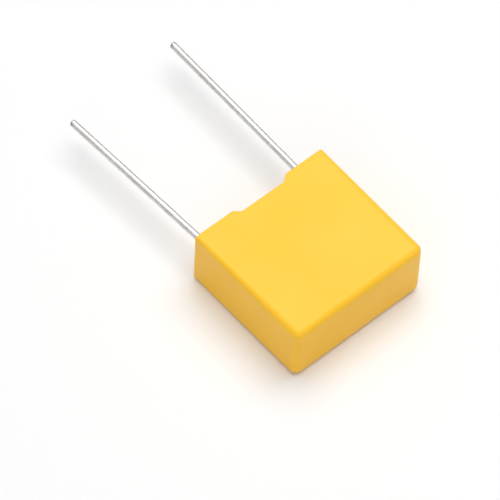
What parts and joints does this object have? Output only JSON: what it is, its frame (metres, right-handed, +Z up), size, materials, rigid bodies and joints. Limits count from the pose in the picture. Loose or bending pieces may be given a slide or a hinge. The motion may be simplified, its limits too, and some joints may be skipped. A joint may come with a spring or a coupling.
{
  "type": "box film capacitor",
  "caption": "Moulded rectangular film capacitor with a rounded closed end, a notched rim and two straight radial wire leads.",
  "frame": {"origin": "midway between the leads on the seating plane (the rim of the case), level with the broad side that it lies on", "axes": "+Y out of the case along the leads, X along the lead pitch, +Z up through the thickness"},
  "size_m": [0.013, 0.0285, 0.0058],
  "materials": {
    "case_plastic": "satin moulded yellow plastic",
    "resin": "smooth cured epoxy",
    "metallised_film": "metallised film, wound",
    "clear_film": "clear film, wound",
    "sprayed_metal": "rough sprayed metal",
    "solder": "dull solder",
    "tinned_wire": "tinned wire, drawn"
  },
  "bodies": {
    "root": {"case": "case_plastic", "potting_resin": "resin", "film_winding": "metallised_film", "outer_wrap": "clear_film", "end_spray_left": "sprayed_metal", "end_spray_right": "sprayed_metal", "solder_left": "solder", "solder_right": "solder", "lead_left": "tinned_wire", "lead_right": "tinned_wire"}
  },
  "joints": []
}
